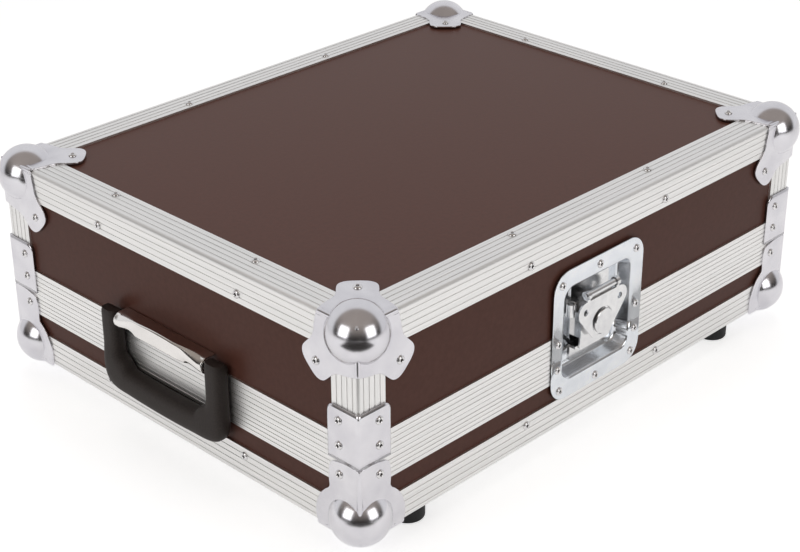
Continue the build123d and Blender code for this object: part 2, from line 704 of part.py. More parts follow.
def main():
    """Builds every piece and writes it to parts/."""
    os.makedirs("parts", exist_ok=True)
    for side in SIDES:
        save(f"base_{side}_panel", side_panel(side, BOTTOM + ALU, SEAM - BASE_WEB))
        save(f"lid_{side}_panel", side_panel(side, LID_FOOT + LID_WEB, TOP - ALU))
        save(f"base_edge_{side}", screw_holes(edge(side, False)))
        save(f"lid_edge_{side}", edge(side, True))
        save(f"base_rim_{side}", rim(side, False))
        save(f"lid_rim_{side}", rim(side, True))
    save("base_bottom_panel", screw_holes(flat_panel(BOTTOM + ALU)))
    save("lid_top_panel", flat_panel(TOP - WALL))

    base_post = post(BOTTOM, SEAM - BASE_RIM)
    lid_post = mirror(post(0, TOP - LID_FOOT - LID_RIM), about=Plane.XY)
    save("base_corner_posts", *[place * base_post for place, _, _ in CORNERS])
    save("lid_corner_posts", *[place * Pos(0, 0, TOP) * lid_post for place, _, _ in CORNERS])

    base_ball = Pos(0, 0, BOTTOM) * ball_corner(strap())
    lid_ball = Pos(0, 0, TOP) * mirror(ball_corner(petal()), about=Plane.XY)
    save("base_ball_corners", *[place * base_ball for place, _, _ in CORNERS])
    save("lid_ball_corners", *[place * lid_ball for place, _, _ in CORNERS])
    save("lid_corner_braces", *[place * Pos(0, 0, LID_FOOT + 1) * brace() for place, _, _ in CORNERS])

    save("feet", *[foot(x, y, way) for x, y, way in foot_places()])
    save("foot_screws", *[foot_screw(x, y) for x, y, _ in foot_places()])

    save("latch_dish_upper", dish_half(True))
    save("latch_dish_lower", dish_half(False))
    save("latch_base_plate", latch_plate())
    save("latch_keeper", keeper())
    save("latch_hook", hook())
    save("latch_rotor", latch_rotor())
    save("latch_wing", latch_wing())
    save("latch_wing_pin", latch_pin())

    at_hinges = [Pos(-HINGE_AT, 0, 0), Pos(HINGE_AT, 0, 0)]
    save("base_hinge_leaves", *[at * hinge_leaf(False) for at in at_hinges])
    save("lid_hinge_leaves", *[at * hinge_leaf(True) for at in at_hinges])
    save("hinge_pins", *[at * hinge_pin() for at in at_hinges])

    save("handle_bracket", handle_bracket())
    save("handle_rod", handle_rod())
    save("handle_grip", handle_grip())

    save("base_rivets", *edge_rivets(False), *corner_rivets(False), *hinge_rivets(False),
         *rivets_at(dish_rivet_places(False)))
    save("lid_rivets", *edge_rivets(True), *corner_rivets(True), *hinge_rivets(True),
         *rivets_at(dish_rivet_places(True)))

    foam_floor = BOTTOM + WALL
    save("base_foam_floor", block((LEFT + WALL, -LEFT - WALL), (FRONT + WALL, BACK - WALL),
                                  (foam_floor, foam_floor + FOAM_FLOOR)))
    save("base_foam_walls", *foam_ring(foam_floor + FOAM_FLOOR, SEAM - BASE_INNER_LEG - 1))
    foam_top = TOP - WALL
    save("lid_foam_top", block((LEFT + WALL, -LEFT - WALL), (FRONT + WALL, BACK - WALL),
                               (foam_top - FOAM_TOP, foam_top)))
    save("lid_foam_walls", *foam_ring(LID_FOOT + LID_INNER_LEG + 1, foam_top - FOAM_TOP))


main()
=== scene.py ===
import math

import bmesh
import bpy
import numpy as np
from mathutils import Matrix, Vector


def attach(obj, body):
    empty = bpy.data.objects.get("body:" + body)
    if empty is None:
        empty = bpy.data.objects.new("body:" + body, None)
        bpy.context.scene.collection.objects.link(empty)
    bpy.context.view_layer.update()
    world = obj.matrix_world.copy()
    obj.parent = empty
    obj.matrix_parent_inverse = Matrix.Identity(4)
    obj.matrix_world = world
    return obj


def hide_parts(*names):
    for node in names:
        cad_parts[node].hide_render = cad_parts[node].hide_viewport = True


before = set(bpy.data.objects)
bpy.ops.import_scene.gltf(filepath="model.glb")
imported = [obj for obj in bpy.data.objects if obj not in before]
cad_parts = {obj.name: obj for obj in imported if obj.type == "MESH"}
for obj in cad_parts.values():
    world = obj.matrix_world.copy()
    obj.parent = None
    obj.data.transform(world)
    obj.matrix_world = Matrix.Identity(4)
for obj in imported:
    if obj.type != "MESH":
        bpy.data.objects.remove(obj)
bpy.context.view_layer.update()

# The camera stands off the corner between the handle side and the latch side and looks down
# on the case. Its place and its lens were fitted to the aluminium edges.
azimuth, elevation, roll = math.radians(45.452), math.radians(27.431), math.radians(-0.293)
ahead = Vector((math.sin(azimuth) * math.cos(elevation),
                math.cos(azimuth) * math.cos(elevation), -math.sin(elevation)))
level_right = ahead.cross(Vector((0, 0, 1))).normalized()
level_up = level_right.cross(ahead)
right = level_right * math.cos(roll) + level_up * math.sin(roll)
up = right.cross(ahead)
camera = bpy.data.objects.new("camera", bpy.data.cameras.new("camera"))
camera.data.sensor_width = 36.0
camera.data.lens = 81.22
stand = Matrix.Translation((-1.11855, -1.0920, 0.8835))
camera.matrix_world = stand @ Matrix((right, up, -ahead)).transposed().to_4x4()
bpy.context.scene.collection.objects.link(camera)
bpy.context.scene.camera = camera
bpy.context.scene.view_settings.view_transform = "Standard"

# The studio is a white room, unlit on the camera's side. The camera sees it white. Metal
# mirrors the unlit side too, almost black low down and taupe above. The light that the room
# gives to the case is weaker than what is seen of it, so that colours keep their own value.
world = bpy.data.worlds.new("studio")
world.use_nodes = True
bpy.context.scene.world = world
sky = world.node_tree
sky.nodes.clear()
path = sky.nodes.new("ShaderNodeLightPath")
direction = sky.nodes.new("ShaderNodeTexCoord")
toward = sky.nodes.new("ShaderNodeVectorMath")
toward.operation = "DOT_PRODUCT"
toward.inputs[1].default_value = -ahead
unlit = sky.nodes.new("ShaderNodeMapRange")
unlit.inputs["From Min"].default_value = -0.08
unlit.inputs["From Max"].default_value = 0.14
unlit.interpolation_type = "SMOOTHSTEP"
parts_of = sky.nodes.new("ShaderNodeSeparateXYZ")
height = sky.nodes.new("ShaderNodeMapRange")
height.inputs["From Min"].default_value = 0.15
height.inputs["From Max"].default_value = 0.75
depth = sky.nodes.new("ShaderNodeMix")
depth.data_type = "RGBA"
depth.inputs[6].default_value = (0.030, 0.027, 0.025, 1)
depth.inputs[7].default_value = (0.36, 0.32, 0.29, 1)
room = sky.nodes.new("ShaderNodeMix")
room.data_type = "RGBA"
room.inputs[6].default_value = (0.80, 0.80, 0.81, 1)
seen = sky.nodes.new("ShaderNodeMix")
seen.data_type = "RGBA"
seen.inputs[7].default_value = (1, 1, 1, 1)
ambient = sky.nodes.new("ShaderNodeMapRange")
ambient.inputs["To Min"].default_value = 0.62
ambient.inputs["To Max"].default_value = 1.0
sharp = sky.nodes.new("ShaderNodeMath")
sharp.operation = "MAXIMUM"
air = sky.nodes.new("ShaderNodeBackground")
out = sky.nodes.new("ShaderNodeOutputWorld")
link = sky.links.new
link(direction.outputs["Generated"], toward.inputs[0])
link(toward.outputs["Value"], unlit.inputs["Value"])
link(direction.outputs["Generated"], parts_of.inputs[0])
link(parts_of.outputs["Z"], height.inputs["Value"])
link(height.outputs["Result"], depth.inputs[0])
link(depth.outputs[2], room.inputs[7])
link(unlit.outputs["Result"], room.inputs[0])
link(path.outputs["Is Camera Ray"], seen.inputs[0])
link(room.outputs[2], seen.inputs[6])
link(path.outputs["Is Camera Ray"], sharp.inputs[0])
link(path.outputs["Is Glossy Ray"], sharp.inputs[1])
link(sharp.outputs[0], ambient.inputs["Value"])
link(seen.outputs[2], air.inputs["Color"])
link(ambient.outputs["Result"], air.inputs["Strength"])
link(air.outputs[0], out.inputs["Surface"])

# The floor is a matt white sheet. Round the case it comes up to the white of the page where
# no shadow falls, and it is a little darker far off and in metal.
floor_half = 4.0
glow_seen, glow_in_metal = 0.62, 0.46
floor_mesh = bpy.data.meshes.new("floor")
floor_mesh.from_pydata([(-floor_half, -floor_half, 0), (floor_half, -floor_half, 0),
                        (floor_half, floor_half, 0), (-floor_half, floor_half, 0)],
                       [], [(0, 1, 2, 3)])
floor = bpy.data.objects.new("floor", floor_mesh)
bpy.context.scene.collection.objects.link(floor)
paper = bpy.data.materials.new("floor_paper")
paper.use_nodes = True
paper.node_tree.nodes.clear()
matt = paper.node_tree.nodes.new("ShaderNodeBsdfDiffuse")
matt.inputs["Color"].default_value = (0.82, 0.82, 0.82, 1)
glow = paper.node_tree.nodes.new("ShaderNodeEmission")
rays = paper.node_tree.nodes.new("ShaderNodeLightPath")
mirrored = paper.node_tree.nodes.new("ShaderNodeMath")
mirrored.operation = "MULTIPLY"
mirrored.inputs[1].default_value = glow_in_metal
level = paper.node_tree.nodes.new("ShaderNodeMath")
level.operation = "MULTIPLY_ADD"
level.inputs[1].default_value = glow_seen
both = paper.node_tree.nodes.new("ShaderNodeAddShader")
sheet_out = paper.node_tree.nodes.new("ShaderNodeOutputMaterial")
link = paper.node_tree.links.new
link(rays.outputs["Is Glossy Ray"], mirrored.inputs[0])
link(rays.outputs["Is Camera Ray"], level.inputs[0])
link(mirrored.outputs[0], level.inputs[2])
link(level.outputs[0], glow.inputs["Strength"])
link(matt.outputs[0], both.inputs[0])
link(glow.outputs[0], both.inputs[1])
link(both.outputs[0], sheet_out.inputs["Surface"])
floor_mesh.materials.append(paper)

# A dark sheet lies on the floor, from 24 cm before the near corner to well past the camera. The
# camera, diffuse light and shadows don't see it. It is a painted reflection: metal mirrors it as
# the black part low in the middle of each ball.
level_back = Vector((ahead.x, ahead.y, 0)).normalized() * -1
near_corner = Vector((-0.29, -0.232, 0.002))
near_edge, near_half, far_edge, far_half = 0.24, 0.40, 3.0, 1.8
dark_mesh = bpy.data.meshes.new("painted_reflection_sheet")
dark_mesh.from_pydata([near_corner + level_back * away + level_right * aside for away, aside in
                       ((near_edge, -near_half), (near_edge, near_half),
                        (far_edge, far_half), (far_edge, -far_half))], [], [(0, 1, 2, 3)])
reflection_only_sheet = bpy.data.objects.new("painted_reflection_sheet", dark_mesh)
bpy.context.scene.collection.objects.link(reflection_only_sheet)
# Painted reflection: the sheet is hidden from the camera, diffuse light and shadows, and only metal
# shows it.
reflection_only_sheet.visible_camera = False
reflection_only_sheet.visible_diffuse = False
reflection_only_sheet.visible_shadow = False
dark_paint = bpy.data.materials.new("painted_reflection_dark")
dark_paint.use_nodes = True
dark_shader = dark_paint.node_tree.nodes["Principled BSDF"]
dark_shader.inputs["Base Color"].default_value = (0.03, 0.026, 0.024, 1)
dark_shader.inputs["Roughness"].default_value = 1.0
dark_mesh.materials.append(dark_paint)

# Two soft boxes stand left and right of the camera. They are the two square highlights
# on the ball corners. A third one above gives the top its even light, unseen in metal.
lamp_aim, lamp_far, to_camera = Vector((0, 0, 0.12)), 1.9, 0.5
for name, side, rise, power, size in (("box_left", -0.42, 0.0, 6.5, 1.0),
                                      ("box_right", 0.42, 0.0, 6.5, 1.0),
                                      ("box_top", 0.0, 1.6, 11.0, 1.6)):
    lamp = bpy.data.objects.new(name, bpy.data.lights.new(name, "AREA"))
    lamp.data.shape = "SQUARE"
    lamp.data.size = size
    lamp.data.energy = power
    from_case = (-ahead * to_camera + level_right * side + level_up * rise).normalized()
    lamp.location = lamp_aim + from_case * lamp_far
    lamp.rotation_mode = "QUATERNION"
    lamp.rotation_quaternion = (-from_case).to_track_quat("-Z", "Y")
    lamp.visible_glossy = name != "box_top"
    bpy.context.scene.collection.objects.link(lamp)


# The walls, top and bottom are birch plywood faced with a dark brown phenolic film. It is
# satin smooth, with a faint cloudiness and a fine pressed grain.
def coated(name, dark, light, metal, rough, scale, stretch=(1, 1, 1), bump=0.05, specular=0.5):
    """A finish whose colour, roughness and relief follow one noise on the piece."""
    material = bpy.data.materials.new(name)
    material.use_nodes = True
    nodes, links = material.node_tree.nodes, material.node_tree.links
    shader = nodes["Principled BSDF"]
    shader.inputs["Metallic"].default_value = metal
    shader.inputs["Specular IOR Level"].default_value = specular
    place = nodes.new("ShaderNodeTexCoord")
    turn = nodes.new("ShaderNodeMapping")
    turn.inputs["Scale"].default_value = stretch
    cloud = nodes.new("ShaderNodeTexNoise")
    cloud.inputs["Scale"].default_value = scale
    cloud.inputs["Detail"].default_value = 6.0
    tone = nodes.new("ShaderNodeValToRGB")
    tone.color_ramp.elements[0].position = 0.3
    tone.color_ramp.elements[1].position = 0.7
    tone.color_ramp.elements[0].color = (*dark, 1)
    tone.color_ramp.elements[1].color = (*light, 1)
    gloss = nodes.new("ShaderNodeMapRange")
    gloss.inputs["To Min"].default_value = rough * 0.85
    gloss.inputs["To Max"].default_value = rough * 1.15
    relief = nodes.new("ShaderNodeBump")
    relief.inputs["Strength"].default_value = bump
    relief.inputs["Distance"].default_value = 0.0005
    links.new(place.outputs["Object"], turn.inputs["Vector"])
    links.new(turn.outputs[0], cloud.inputs["Vector"])
    links.new(cloud.outputs[0], tone.inputs[0])
    links.new(tone.outputs[0], shader.inputs["Base Color"])
    links.new(cloud.outputs[0], gloss.inputs["Value"])
    links.new(gloss.outputs["Result"], shader.inputs["Roughness"])
    links.new(cloud.outputs[0], relief.inputs["Height"])
    links.new(relief.outputs[0], shader.inputs["Normal"])
    return material


def dress(material, *names):
    """Gives the named solids this finish, in their own material slots."""
    for name in names:
        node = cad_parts[name]
        if not node.material_slots:
            node.data.materials.append(material)
        for slot in node.material_slots:
            slot.material = material


film = coated("brown_film", (0.096, 0.038, 0.027), (0.112, 0.045, 0.033), 0.0, 0.36, 220,
              bump=0.12, specular=0.12)
dress(film, "base_bottom_panel", "lid_top_panel",
      *(f"{half}_{side}_panel" for half in ("base", "lid")
        for side in ("front", "right", "back", "left")))

# The edges, rims and posts are extruded aluminium, anodised to a pale silk finish. The
# die leaves fine lines along each bar, so the noise is drawn out that way.
drawn = {"x": (1, 60, 60), "y": (60, 1, 60), "z": (60, 60, 1)}
silk = {way: coated(f"aluminium_{way}", (0.80, 0.80, 0.79), (0.92, 0.91, 0.90), 1.0, 0.42, 9,
                    stretch, 0.10) for way, stretch in drawn.items()}
for side, way in (("front", "x"), ("back", "x"), ("left", "y"), ("right", "y")):
    for half in ("base", "lid"):
        dress(silk[way], f"{half}_edge_{side}", f"{half}_rim_{side}")
dress(silk["z"], "base_corner_posts", "lid_corner_posts")

# Each ball corner is one steel pressing with a bright zinc coat, slightly lilac. A ball of
# 53 mm stands on the corner, and three leaves lie on the aluminium, bent round its edges.
zinc = coated("bright_zinc", (0.66, 0.65, 0.69), (0.78, 0.77, 0.80), 1.0, 0.20, 40, bump=0.05)
sheet = 1.5
ball_radius, ball_in = 26.49, 15.0
bend = 1.8
corner_x, corner_y, case_bottom, case_top, case_shift = 295.0, 232.0, 20.0, 220.0, 3.25


def formed(name, grids, material, body, nodes=(), closed=True, outward=None, wall=0.0):
    """A piece from grids of points in millimetres. Each point joins the next row and the next
    column, and closed columns run right round. An open sheet gets its wall on the inner side."""
    points = np.concatenate([grid.reshape(-1, 3) for grid in grids]) / 1000
    faces, start = [], 0
    for grid in grids:
        at = start + np.arange(grid.shape[0] * grid.shape[1]).reshape(grid.shape[:2])
        after = np.roll(at, -1, axis=1)
        quads = np.stack((at[:-1], after[:-1], after[1:], at[1:]), axis=-1)
        faces.append((quads if closed else quads[:, :-1]).reshape(-1, 4))
        start += at.size
    mesh = bpy.data.meshes.new(name)
    mesh.from_pydata(points, [], np.concatenate(faces).tolist())
    skin = bmesh.new()
    skin.from_mesh(mesh)
    bmesh.ops.remove_doubles(skin, verts=skin.verts, dist=2e-6)
    bmesh.ops.dissolve_degenerate(skin, edges=skin.edges, dist=1e-6)
    if outward is None:
        bmesh.ops.recalc_face_normals(skin, faces=skin.faces)
    elif sum((f.normal.dot(Vector(outward)) * f.calc_area() for f in skin.faces)) < 0:
        bmesh.ops.reverse_faces(skin, faces=skin.faces)
    skin.to_mesh(mesh)
    skin.free()
    mesh.shade_smooth()
    mesh.set_sharp_from_angle(angle=math.radians(38))
    mesh.materials.append(material)
    piece = bpy.data.objects.new(name, mesh)
    bpy.context.scene.collection.objects.link(piece)
    if wall:
        thick = piece.modifiers.new("wall", "SOLIDIFY")
        thick.thickness = wall / 1000
        thick.offset = -1.0
    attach(piece, body)
    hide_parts(*nodes)
    return piece


def tab_outline():
    """The lid's leaves and the base's flat one: a tab along the diagonal. Its end is a
    superellipse, of power 3.2 across and 2 along, and its sides curve out to two case edges."""
    half_tab, end_from, end_long, end_power = 17.0, 66.0, 10.0, 3.2
    turn = np.linspace(0, np.pi / 2, 24)
    end_across = half_tab * np.cos(turn) ** (2 / end_power)
    across = np.concatenate(([31.5, 26.0, 20.6, 17.9, half_tab], end_across))
    along = np.concatenate(([29.3, 39.0, 46.5, 51.5, 56.0], end_from + end_long * np.sin(turn)))
    side = np.stack((along + across, along - across), axis=-1) / math.sqrt(2)
    return np.concatenate((side, side[::-1, ::-1]))


def strap_outline():
    """The base's upright leaf: a strap with a round shoulder, then a neck, then a flare that
    is an arc from the neck down to the bottom edge."""
    strap_wide, strap_high, shoulder_round, flare_round = 33.5, 69.5, 8.0, 35.5
    turn = np.linspace(0, np.pi / 2, 12)
    flare = np.linspace(-0.52, 1.13, 20)
    lobe = np.stack((15 + flare_round * np.cos(flare), 11 + flare_round * np.sin(flare)), axis=-1)
    lobe = lobe[lobe[:, 0] > 34.2]
    neck = [[33.7, 42.6], [strap_wide, 45.0]]
    shoulder = np.stack((strap_wide - shoulder_round * (1 - np.cos(turn)),
                         strap_high - shoulder_round * (1 - np.sin(turn))), axis=-1)
    return np.concatenate((lobe, neck, shoulder, [[-6.0, strap_high]]))


def leaf(outline):
    """A leaf in polar form about the ball: rings from the ball out to the outline, or to the
    45 degree line of the bend, over a rolled edge and back under the sheet. Depth follows the
    bend's arc as far as that line, and a shallow pressed groove runs beside it."""
    under_ball, edge_roll = 20.0, 0.6
    groove_deep, groove_in, groove_wide = 0.45, 4.0, 0.7
    angle = np.linspace(-np.pi, np.pi, 288, endpoint=False)
    rel = outline - ball_in
    seen_at = np.arctan2(rel[:, 1], rel[:, 0])
    order = np.argsort(seen_at)
    edge = np.interp(angle, seen_at[order], np.hypot(*rel.T)[order], left=999, right=999)
    nearest = np.maximum(np.maximum(-np.cos(angle), -np.sin(angle)), 1e-3)
    bend_line = (ball_in + sheet - bend * (1 - math.sqrt(0.5))) / nearest
    limit = np.minimum(bend_line, edge)
    inner = np.minimum(under_ball, limit - 0.5)
    insets = (9.0, 7.0, 5.6, 4.8, 4.2, 3.7, 3.2, 2.7, 2.2, 1.7, 1.3, 1.0, 0.6)
    radii = [inner] + [np.maximum(inner, limit - inset) for inset in insets]
    sinks = [0.0] * len(radii)
    for roll in np.linspace(0.2, 1, 5) * np.pi / 2:
        radii.append(np.maximum(inner, limit - edge_roll * (1 - np.sin(roll))))
        sinks.append(np.where(bend_line < edge, 0.0, edge_roll * (1 - np.cos(roll))))
    rings = []
    for radius, sink in zip(radii, sinks):
        x, y = ball_in + radius * np.cos(angle), ball_in + radius * np.sin(angle)
        apart = np.minimum(x, y) + sheet
        fall = bend - np.sqrt(np.maximum(bend ** 2 - np.maximum(bend - apart, 0) ** 2, 0))
        groove = groove_deep * np.exp(-((apart - groove_in) / groove_wide) ** 2)
        rings.append(np.stack((x, y, -sheet + fall + groove + sink), axis=-1))
    under, back = rings[-1].copy(), rings[0].copy()
    under[:, 2], back[:, 2] = 0.0, 0.0
    return np.stack(rings + [under, back, rings[0]])


def ball():
    """The ball's skin, in polar form about the corner's diagonal. Each meridian ends where the
    last of its three coordinates comes up to the aluminium, and then runs back inside."""
    off_bar, farthest = 0.2, 2.6
    axis = -np.ones(3) / math.sqrt(3)
    first = np.array((1, -1, 0)) / math.sqrt(2)
    second = np.cross(axis, first)
    around = np.linspace(0, 2 * np.pi, 144, endpoint=False)[:, None]
    sideways = np.cos(around) * first + np.sin(around) * second
    size = np.hypot(axis, sideways)
    level = np.clip((-off_bar - ball_in) / ball_radius / size, -1, 1)
    last = (np.arctan2(sideways, axis) - np.arccos(level)) % (2 * np.pi)
    last = np.where(last > farthest, 0, last).max(axis=1)
    share = np.linspace(0, 1, 40)
    tilt = np.concatenate((share, share[::-1]))[:, None] * last
    radius = np.repeat((ball_radius, ball_radius - sheet), len(share))[:, None, None]
    return ball_in + radius * (np.cos(tilt)[..., None] * axis + np.sin(tilt)[..., None] * sideways)


def at_corners(grids, lid):
    """The grids of one corner set on all four: a quarter turn each, upside down on the lid."""
    out = []
    for n, (sx, sy) in enumerate(((-1, -1), (1, -1), (1, 1), (-1, 1))):
        for grid in grids:
            x, y, z = np.moveaxis(grid, -1, 0)
            for _ in range(n):
                x, y = -y, x
            out.append(np.stack((sx * corner_x + case_shift + x, sy * corner_y + y,
                                 case_top - z if lid else case_bottom + z), axis=-1))
    return out


for half, upright in (("base", strap_outline()), ("lid", tab_outline())):
    flat, wall_leaf = leaf(tab_outline()), leaf(upright)
    formed(f"{half}_ball_corner_set",
           at_corners([ball(), flat, wall_leaf[..., [0, 2, 1]], wall_leaf[..., [2, 0, 1]]],
                      half == "lid"),
           zinc, half, [f"{half}_ball_corners"])

# The lid's corner braces are flat steel, bent once round the upright edge and riveted on.
# Their two upper corners are rounded.
brace_wide, brace_high, brace_round, brace_foot = 34.0, 50.5, 7.0, 91.8
quarter = bend * np.pi / 4
outer_run = np.linspace(0.78, 1, 14)
run = np.concatenate((-outer_run[::-1], np.linspace(-0.76, 0.76, 41), outer_run))
run = run * (brace_wide - bend + sheet + quarter)
turned = np.clip(run, -quarter, quarter) / bend
straight = run - turned * bend
middle_angle = np.pi * 1.25 + turned
path_x = bend - sheet + bend * np.cos(middle_angle) - straight * np.sin(middle_angle)
path_y = bend - sheet + bend * np.sin(middle_angle) + straight * np.cos(middle_angle)
past = np.clip((np.abs(run) - (np.abs(run).max() - brace_round)) / brace_round, 0, 1)
tall = brace_high - brace_round * (1 - np.sqrt(1 - past ** 2))
rise = np.linspace(0, 1, 12)[:, None] * tall
brace = np.stack(np.broadcast_arrays(path_x, path_y, case_top - brace_foot - rise), axis=-1)
for n, facing in enumerate(((-1, -1, 0), (1, -1, 0), (1, 1, 0), (-1, 1, 0))):
    formed(f"lid_brace_{n}", [at_corners([brace], True)[n]], zinc, "lid",
           ["lid_corner_braces"], closed=False, outward=facing, wall=sheet - 0.1)

# The rivets are steel with a split shank. Each head is a low ring round a shallow pit, whose
# faces are painted near black as painted shade of the hole. They stand where the solids have
# them, and face away from the case.
rivet_steel = coated("rivet_steel", (0.66, 0.65, 0.66), (0.84, 0.83, 0.83), 1.0, 0.20, 500,
                     bump=0.05)
# Near-black steel for the pit faces: painted shade, standing in for the depth of the hole.
pit_painted_shade = coated("rivet_pit_painted_shade", (0.020, 0.016, 0.014), (0.060, 0.050, 0.045), 1.0, 0.45, 500,
                   bump=0.05)
pit_shade_radius = 1.35
case_centre = (case_shift, 0, (case_bottom + case_top) / 2)
head_radius = np.array((0.0, 0.9, 1.3, 1.45, 1.9, 2.6, 3.4, 3.9, 3.95))
head_height = np.array((0.3, 0.3, 0.5, 1.45, 1.75, 1.65, 1.15, 0.5, 0.05))
head_turn = np.linspace(0, 2 * np.pi, 18, endpoint=False)


def islands(node):
    """The lowest and highest corners of every separate solid in a node."""
    found = bmesh.new()
    found.from_mesh(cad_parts[node].data)
    bmesh.ops.remove_doubles(found, verts=found.verts, dist=1e-6)
    left, boxes = set(found.verts), []
    while left:
        group = [left.pop()]
        for vert in group:
            for edge in vert.link_edges:
                other = edge.other_vert(vert)
                if other in left:
                    left.remove(other)
                    group.append(other)
        spots = np.array([v.co for v in group])
        boxes.append((spots.min(0), spots.max(0)))
    found.free()
    return boxes


for half in ("base", "lid"):
    heads = []
    for low_end, high_end in islands(f"{half}_rivets"):
        size = high_end - low_end
        thin = int(size.argmin())
        centre = (low_end + high_end) / 2 * 1000
        way = math.copysign(1, centre[thin] - case_centre[thin])
        foot_level = (low_end if way > 0 else high_end)[thin] * 1000
        head = np.empty((len(head_radius), len(head_turn), 3))
        head[..., thin] = foot_level + way * head_height[:, None]
        head[..., (thin + 1) % 3] = centre[(thin + 1) % 3] + head_radius[:, None] * np.cos(head_turn)
        head[..., (thin + 2) % 3] = centre[(thin + 2) % 3] + head_radius[:, None] * np.sin(head_turn)
        under = head[-1:].copy()
        under[..., thin] = foot_level
        tip = under * 0 + under.mean(axis=1, keepdims=True)
        heads.append(np.concatenate((head, under, tip)))
    rivets = formed(f"{half}_rivet_heads", heads, rivet_steel, half,
                    [f"{half}_rivets"])
    rivets.data.materials.append(pit_painted_shade)
    # Faces near each head's middle take the pit's painted shade.
    middles = np.array([h[0].mean(axis=0) for h in heads]) / 1000
    centres = np.array([f.center for f in rivets.data.polygons])
    apart = np.linalg.norm(centres[:, None] - middles[None], axis=-1).min(axis=1)
    rivets.data.polygons.foreach_set("material_index", (apart < pit_shade_radius / 1000).astype(int))

# The feet are black rubber cylinders, set in from the ends of the long sides. A plated
# screw goes through each of them and the edge into the plywood.
rubber = coated("black_rubber", (0.012, 0.012, 0.013), (0.024, 0.024, 0.025), 0.0, 0.62, 900,
                bump=0.25, specular=0.35)
dress(rubber, "feet")
dress(rivet_steel, "foot_screws")

# The latch dish is deep-drawn steel with a blue zinc coat, cut in two at the seam. Its
# flange rolls over into sloping walls round a flat floor.
blue_zinc = coated("blue_zinc", (0.72, 0.75, 0.79), (0.84, 0.86, 0.89), 1.0, 0.22, 60, bump=0.05)
dish_x, dish_z, face_y = case_shift, 112.6, -corner_y
seam_low, seam_high = 90.2, 91.1
dish_rings = np.array((
    (62.0, 64.0, 20.0, -1.1), (61.7, 63.7, 19.7, -1.4), (61.2, 63.2, 19.2, -1.5),
    (61.0, 63.0, 19.0, -1.5), (50.4, 49.4, 14.7, -1.5),
    (50.2, 49.2, 14.5, -1.5), (49.0, 48.0, 13.5, -1.45), (47.6, 46.6, 12.4, -1.1),
    (46.5, 45.5, 11.5, -0.3), (46.0, 45.0, 11.0, 0.8), (43.6, 42.6, 9.5, 9.8),
    (43.0, 42.0, 9.2, 11.3), (42.0, 41.0, 9.0, 12.4), (40.4, 39.4, 8.6, 12.95),
    (39.0, 38.0, 8.2, 13.05), (0.0, 0.0, 0.0, 13.05)))
swing = np.linspace(0, np.pi / 2, 13)
quarter_turns = np.concatenate([swing + k * np.pi / 2 for k in range(4)])
sign_x = np.repeat((1, -1, -1, 1), len(swing))
sign_z = np.repeat((1, 1, -1, -1), len(swing))
half_wide, half_high, rounded, inward = (column[:, None] for column in dish_rings.T)
dish = np.stack(np.broadcast_arrays(
    dish_x + sign_x * (half_wide - rounded) + rounded * np.cos(quarter_turns),
    face_y + inward,
    dish_z + sign_z * (half_high - rounded) + rounded * np.sin(quarter_turns)), axis=-1)
for name, body, cut, keep in (("dish_upper", "lid", seam_high, 1),
                              ("dish_lower", "base", seam_low, -1)):
    shell = formed(name, [dish], blue_zinc, body, [f"latch_{name}"],
                   outward=(0, -1, 0), wall=1.3)
    halved = bmesh.new()
    halved.from_mesh(shell.data)
    bmesh.ops.bisect_plane(halved, geom=halved.verts[:] + halved.edges[:] + halved.faces[:],
                           plane_co=(0, 0, cut / 1000), plane_no=(0, 0, keep), clear_inner=True)
    halved.to_mesh(shell.data)
    halved.free()

# The latch itself is stamped steel under bright nickel: base plate, keeper, hook, turning
# arm with its knob, and the folding wing on its pin.
nickel = coated("latch_nickel", (0.70, 0.70, 0.71), (0.82, 0.82, 0.82), 1.0, 0.18, 120, bump=0.04)
dress(nickel, "latch_base_plate", "latch_keeper", "latch_hook", "latch_rotor", "latch_wing",
      "latch_wing_pin")

# Two five-knuckle hinges of zinc-coated steel carry the lid at the back. Three rivets hold
# each leaf, and a headed steel pin runs through the knuckles.
dress(zinc, "base_hinge_leaves", "lid_hinge_leaves")
dress(rivet_steel, "hinge_pins")

# The handle is a nickel-plated bracket with a steel rod, and a grip of moulded rubber. The
# bracket is one sheet, rolled round the rod at its ends and arched in the middle.
mirror_nickel = coated("handle_nickel", (0.76, 0.74, 0.72), (0.86, 0.84, 0.82), 1.0, 0.10, 30,
                       bump=0.02)
grip_rubber = coated("grip_rubber", (0.022, 0.016, 0.014), (0.038, 0.029, 0.025), 0.0, 0.55, 700,
                     bump=0.30, specular=0.25)
dress(mirror_nickel, "handle_rod")
rod_x, rod_z, sleeve, bracket_half = -299.75, 121.0, 7.75, 59.0
along_rod = np.linspace(-bracket_half, bracket_half, 119)[None, :]
share = np.linspace(0, 1, 49)[:, None]
web_end, lip_end = 0.35, 0.25
web_back, band_front, band_high, band_lean, lip_round = 9.4, -6.5, 10.6, 0.7, 1.9
open_from, open_over, arch_half = 57.0, 36.0, 54.0
top_lift, low_lift, belly = 5.2, 2.0, 1.2
lip_turn, wrap_far, wrap_less = 84.0, 235.0, 95.0
flatten = np.clip((open_from - np.abs(along_rod)) / open_over, 0, 1)
flatten = flatten * flatten * (3 - 2 * flatten)
arch = np.clip(1 - (along_rod / arch_half) ** 2, 0, 1)
on_web = np.clip(share / web_end, 0, 1)
curl = np.clip((share - web_end) / (1 - web_end), 0, 1)
# At its ends the section runs along the web and then round the rod, from the top to below.
# Towards the middle it wraps less far, so that it opens out clear of the rod.
coil = np.pi / 2 + curl * np.radians(wrap_far - wrap_less * flatten)
tube_x = np.where(share < web_end, web_back * (1 - on_web), sleeve * np.cos(coil))
tube_z = np.where(share < web_end, sleeve, sleeve * np.sin(coil))
